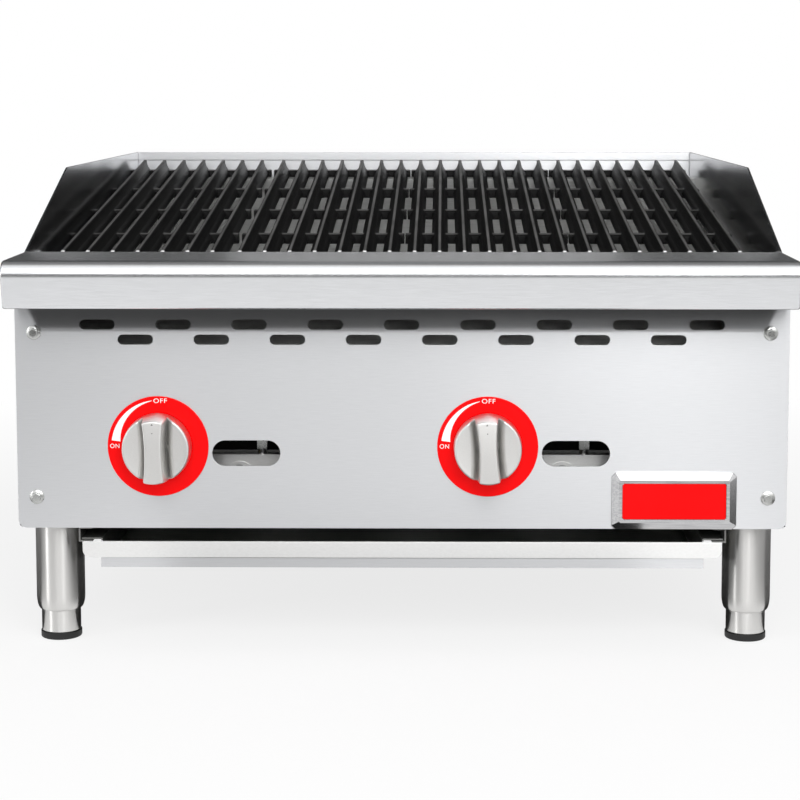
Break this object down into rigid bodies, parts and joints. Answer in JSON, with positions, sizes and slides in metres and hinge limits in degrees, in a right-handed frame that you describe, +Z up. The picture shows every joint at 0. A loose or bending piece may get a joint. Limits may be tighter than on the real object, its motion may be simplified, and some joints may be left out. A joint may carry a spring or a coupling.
{
  "type": "countertop gas charbroiler",
  "caption": "Countertop gas charbroiler with sloping cast grates, bullnose rail, control knobs, adjustable legs and a pull-out drip tray.",
  "frame": {"origin": "on the counter, in the middle of the whole unit's box", "axes": "+X to the unit's right seen from the front, +Y to the back, +Z up"},
  "size_m": [0.61, 0.716, 0.3745],
  "materials": {
    "stainless": "brushed stainless sheet",
    "aluminised": "aluminised sheet, matt",
    "radiant_steel": "stainless sheet, dull",
    "grate_iron": "cast iron, seasoned black",
    "burner_iron": "cast iron, as cast",
    "pipe_black": "black steel pipe",
    "brass": "machined brass",
    "tube_aluminium": "drawn aluminium tube",
    "zinc_plate": "zinc-plated steel",
    "satin_knob": "satin plated die casting",
    "red_enamel": "gloss red enamel",
    "bright_frame": "bright plated casting",
    "bolt_steel": "plain stainless",
    "leg_steel": "turned and brushed tube",
    "black_pad": "black moulded rubber"
  },
  "bodies": {
    "chassis": {"badge_frame": "bright_frame", "badge_plate": "red_enamel", "base_rail_front": "aluminised", "base_rail_rear": "aluminised", "bezel_left": "red_enamel", "bezel_right": "red_enamel", "burner_bracket": "aluminised", "burner_hanger": "aluminised", "burner_left": "burner_iron", "burner_right": "burner_iron", "front_baffle": "aluminised", "front_lip": "stainless", "front_panel": "stainless", "gas_manifold": "pipe_black", "gas_valve_left": "brass", "gas_valve_right": "brass", "grate_rests": "aluminised", "grease_trough": "aluminised", "leg_front_left": "leg_steel", "leg_front_right": "leg_steel", "leg_rear_left": "leg_steel", "leg_rear_right": "leg_steel", "liner_left": "aluminised", "liner_rear": "aluminised", "liner_right": "aluminised", "orifice_hoods": "brass", "panel_bolts": "bolt_steel", "pilot_burners": "zinc_plate", "pilot_tubes": "tube_aluminium", "pilot_valves": "brass", "radiant_1": "radiant_steel", "radiant_2": "radiant_steel", "radiant_3": "radiant_steel", "radiant_4": "radiant_steel", "radiant_rails": "aluminised", "rear_panel": "stainless", "side_panel_left": "stainless", "side_panel_right": "stainless", "supply_pipe": "pipe_black", "tray_runner_left": "aluminised", "tray_runner_right": "aluminised"},
    "knob_left": {"knob_left": "satin_knob", "valve_stem_left": "zinc_plate"},
    "air_shutter_left": {"air_shutter_left": "zinc_plate"},
    "knob_right": {"knob_right": "satin_knob", "valve_stem_right": "zinc_plate"},
    "air_shutter_right": {"air_shutter_right": "zinc_plate"},
    "drip_tray": {"drip_tray": "stainless"},
    "grate_1": {"grate_1": "grate_iron"},
    "grate_2": {"grate_2": "grate_iron"},
    "grate_3": {"grate_3": "grate_iron"},
    "grate_4": {"grate_4": "grate_iron"},
    "foot_front_left": {"foot_front_left": "leg_steel", "foot_pad_front_left": "black_pad"},
    "foot_front_right": {"foot_front_right": "leg_steel", "foot_pad_front_right": "black_pad"},
    "foot_rear_left": {"foot_rear_left": "leg_steel", "foot_pad_rear_left": "black_pad"},
    "foot_rear_right": {"foot_rear_right": "leg_steel", "foot_pad_rear_right": "black_pad"}
  },
  "joints": [
    {"name": "knob_left_turn", "type": "hinge", "parent": "chassis", "child": "knob_left", "pos_m": [-0.193, -0.31, 0.163], "axis": [0, -1, 0], "range_deg": [0, 90]},
    {"name": "air_shutter_left_turn", "type": "hinge", "parent": "chassis", "child": "air_shutter_left", "pos_m": [-0.193, -0.275, 0.163], "axis": [0, -1, 0], "range_deg": [0, 60]},
    {"name": "knob_right_turn", "type": "hinge", "parent": "chassis", "child": "knob_right", "pos_m": [0.068, -0.31, 0.163], "axis": [0, -1, 0], "range_deg": [0, 90]},
    {"name": "air_shutter_right_turn", "type": "hinge", "parent": "chassis", "child": "air_shutter_right", "pos_m": [0.068, -0.275, 0.163], "axis": [0, -1, 0], "range_deg": [0, 60]},
    {"name": "drip_tray_slide", "type": "slide", "parent": "chassis", "child": "drip_tray", "axis": [0, -1, 0], "range_m": [0, 0.6]},
    {"name": "grate_1_lift", "type": "slide", "parent": "chassis", "child": "grate_1", "axis": [0, 0, 1], "range_m": [0, 0.15]},
    {"name": "grate_2_lift", "type": "slide", "parent": "chassis", "child": "grate_2", "axis": [0, 0, 1], "range_m": [0, 0.15]},
    {"name": "grate_3_lift", "type": "slide", "parent": "chassis", "child": "grate_3", "axis": [0, 0, 1], "range_m": [0, 0.15]},
    {"name": "grate_4_lift", "type": "slide", "parent": "chassis", "child": "grate_4", "axis": [0, 0, 1], "range_m": [0, 0.15]},
    {"name": "foot_front_left_adjust", "type": "slide", "parent": "chassis", "child": "foot_front_left", "axis": [0, 0, -1], "range_m": [-0.015, 0.012]},
    {"name": "foot_front_right_adjust", "type": "slide", "parent": "chassis", "child": "foot_front_right", "axis": [0, 0, -1], "range_m": [-0.015, 0.012]},
    {"name": "foot_rear_left_adjust", "type": "slide", "parent": "chassis", "child": "foot_rear_left", "axis": [0, 0, -1], "range_m": [-0.015, 0.012]},
    {"name": "foot_rear_right_adjust", "type": "slide", "parent": "chassis", "child": "foot_rear_right", "axis": [0, 0, -1], "range_m": [-0.015, 0.012]}
  ]
}
